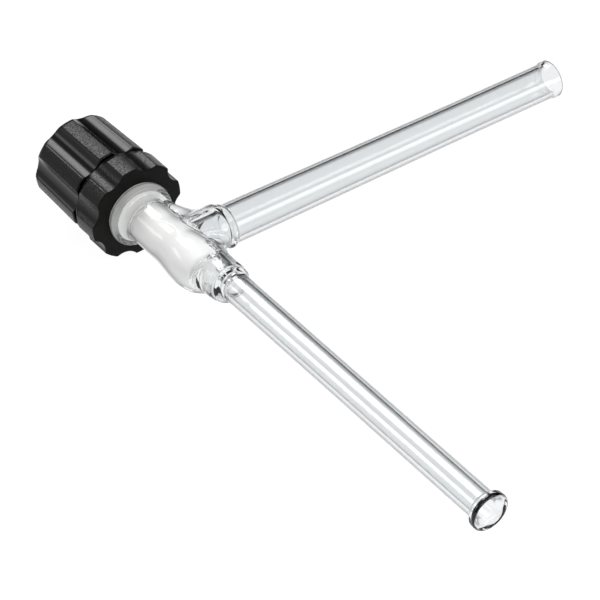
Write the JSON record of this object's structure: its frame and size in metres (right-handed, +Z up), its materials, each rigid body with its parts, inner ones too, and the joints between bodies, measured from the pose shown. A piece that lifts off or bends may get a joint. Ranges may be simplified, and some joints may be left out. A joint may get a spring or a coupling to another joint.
{
  "type": "glass stopcock",
  "caption": "Straight-bore glass stopcock with an outlet arm and a side arm at right angles, shut by a white plunger that a black scalloped knob screws in and out.",
  "frame": {"origin": "centre of the bounding box, at the height of the surface that the stopcock lies on", "axes": "+Z up from that surface; +X runs from the knob to the outlet arm's end, 3.4 degrees off the main axis, which dips towards the outlet; +Y runs along the side arm to its end"},
  "size_m": [0.2142, 0.17, 0.0349],
  "materials": {
    "glass": "clear, fire-polished",
    "white_fluoropolymer": "smooth, slightly waxy white",
    "black_moulding": "glossy in the scallops, finely grained on the lands",
    "seal_rubber": "smooth black",
    "silicone": "smooth, milky white",
    "stainless_steel": "turned"
  },
  "bodies": {
    "glass": {"glass_body": "glass", "retaining_nut": "black_moulding", "slip_washer": "white_fluoropolymer", "threaded_sleeve": "white_fluoropolymer", "mouth_gasket": "silicone", "mouth_o_ring": "silicone", "rod_o_ring_front": "seal_rubber", "rod_o_ring_rear": "seal_rubber"},
    "plunger": {"plunger": "white_fluoropolymer", "thrust_washer": "stainless_steel", "retainer_half_upper": "white_fluoropolymer", "retainer_half_lower": "white_fluoropolymer"},
    "knob": {"drive_screw": "stainless_steel", "knob": "black_moulding", "knob_washer": "stainless_steel", "knob_screw": "stainless_steel", "knob_cap": "black_moulding"}
  },
  "joints": [
    {"name": "plunger_slide", "type": "slide", "parent": "glass", "child": "plunger", "axis": [-0.9983, 0, 0.0576], "range_m": [0, 0.0105]},
    {"name": "knob_turn", "type": "hinge", "parent": "plunger", "child": "knob", "pos_m": [-0.09387, -0.06804, 0.01835], "axis": [-0.9983, 0, 0.0576], "range_deg": [0, 1260]}
  ],
  "couplings": [
    {"joint": "plunger_slide", "follows": "knob_turn", "m_per_rad": 0.00047746}
  ]
}
